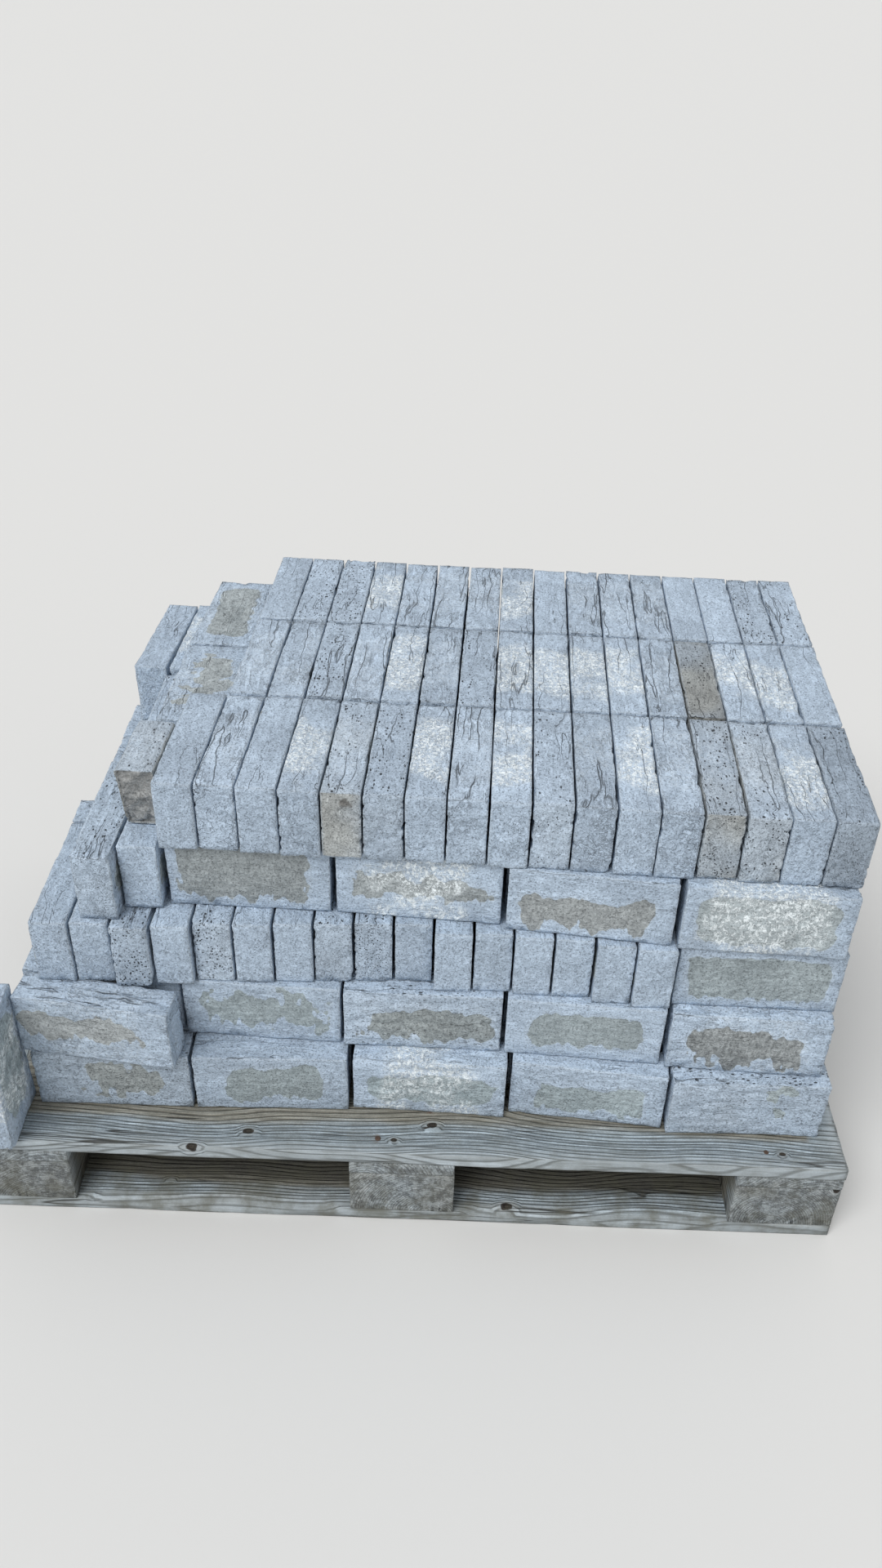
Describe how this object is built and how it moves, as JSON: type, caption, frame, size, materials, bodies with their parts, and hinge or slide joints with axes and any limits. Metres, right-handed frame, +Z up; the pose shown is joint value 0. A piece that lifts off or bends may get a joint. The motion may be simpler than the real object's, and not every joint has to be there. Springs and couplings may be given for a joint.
{
  "type": "pallet of bricks",
  "caption": "Flat four-way wooden pallet loaded with grey soft-moulded bricks stood on edge in courses, stepped and untidy at the left, with a few loose bricks.",
  "frame": {"origin": "middle of the pallet's underside, on the ground", "axes": "+X along the pallet's long side to the right, +Y into its depth away from the viewed face, +Z up"},
  "size_m": [1.2, 0.816, 0.644],
  "materials": {
    "timber": "weathered, silver-grey sawn softwood",
    "brick": "matt, rough soft-moulded fired clay with white bloom"
  },
  "bodies": {
    "root": {"base_board_back": "timber", "base_board_front": "timber", "base_board_middle": "timber", "block_left_back": "timber", "block_left_front": "timber", "block_left_middle": "timber", "block_middle_back": "timber", "block_middle_front": "timber", "block_middle_middle": "timber", "block_right_back": "timber", "block_right_front": "timber", "block_right_middle": "timber", "brick_on_end": "brick", "course_1_front_row": "brick", "course_1_rows_behind": "brick", "course_2_front_row": "brick", "course_2_rows_behind": "brick", "course_2_shifted_brick": "brick", "course_3_back_row": "brick", "course_3_closer": "brick", "course_3_front_row": "brick", "course_3_middle_row": "brick", "course_3_right_column": "brick", "course_4_back_headers": "brick", "course_4_front_headers": "brick", "course_4_front_row": "brick", "course_4_middle_header": "brick", "course_4_rows_behind": "brick", "course_5_back_row": "brick", "course_5_front_row": "brick", "course_5_middle_row": "brick", "deck_board_back": "timber", "deck_board_back_inner": "timber", "deck_board_front": "timber", "deck_board_front_inner": "timber", "deck_board_middle": "timber", "flat_brick_back": "brick", "flat_brick_middle": "brick", "snapped_bat": "brick", "stringer_board_left": "timber", "stringer_board_middle": "timber", "stringer_board_right": "timber"}
  },
  "joints": []
}
